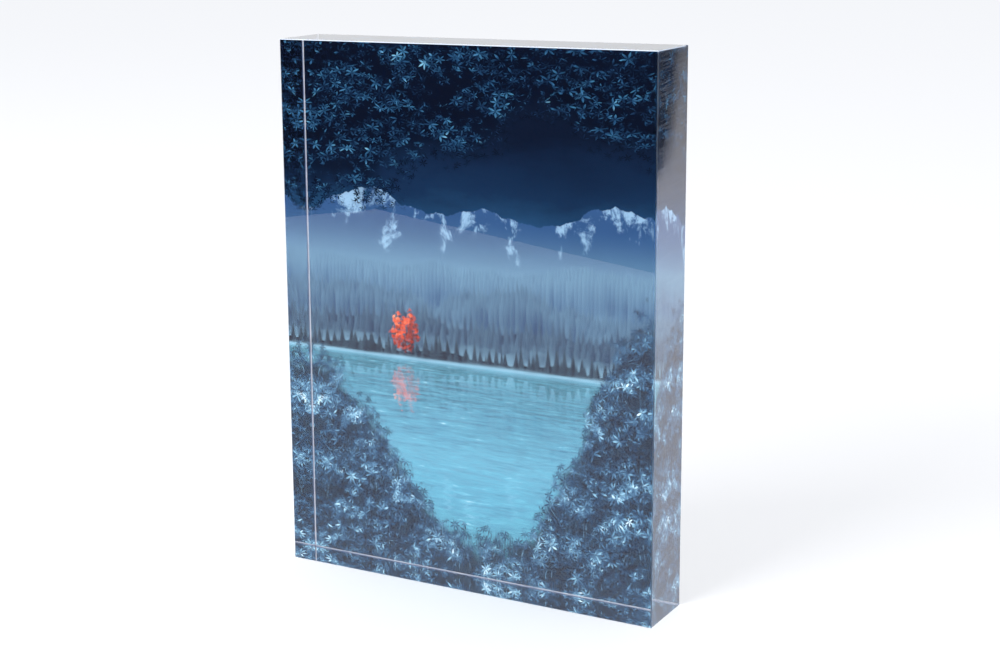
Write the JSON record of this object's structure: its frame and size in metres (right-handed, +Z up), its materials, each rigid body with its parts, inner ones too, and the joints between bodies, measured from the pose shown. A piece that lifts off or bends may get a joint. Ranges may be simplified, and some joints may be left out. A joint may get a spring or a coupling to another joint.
{
  "type": "acrylic photo block",
  "caption": "Free-standing thick clear acrylic block with bevelled polished edges and a landscape print bonded across its whole back under a white film.",
  "frame": {"origin": "middle of the footprint, on the surface that the block stands on", "axes": "+Z up along the block's height, +X across its width to the viewer's right, +Y from the front face to the backing film, so the picture faces -Y"},
  "size_m": [0.1524, 0.0262, 0.2032],
  "materials": {
    "clear_acrylic": "clear cast acrylic, gloss polished faces, finely machined polished edges",
    "clear_adhesive": "optically clear film adhesive",
    "print": null,
    "backing_adhesive": "translucent film adhesive",
    "backing_film": "white matte film with a fine grain"
  },
  "bodies": {
    "root": {"acrylic_block": "clear_acrylic", "optical_adhesive": "clear_adhesive", "photo_print": "print", "backing_adhesive": "backing_adhesive", "backing_film": "backing_film"}
  },
  "joints": []
}
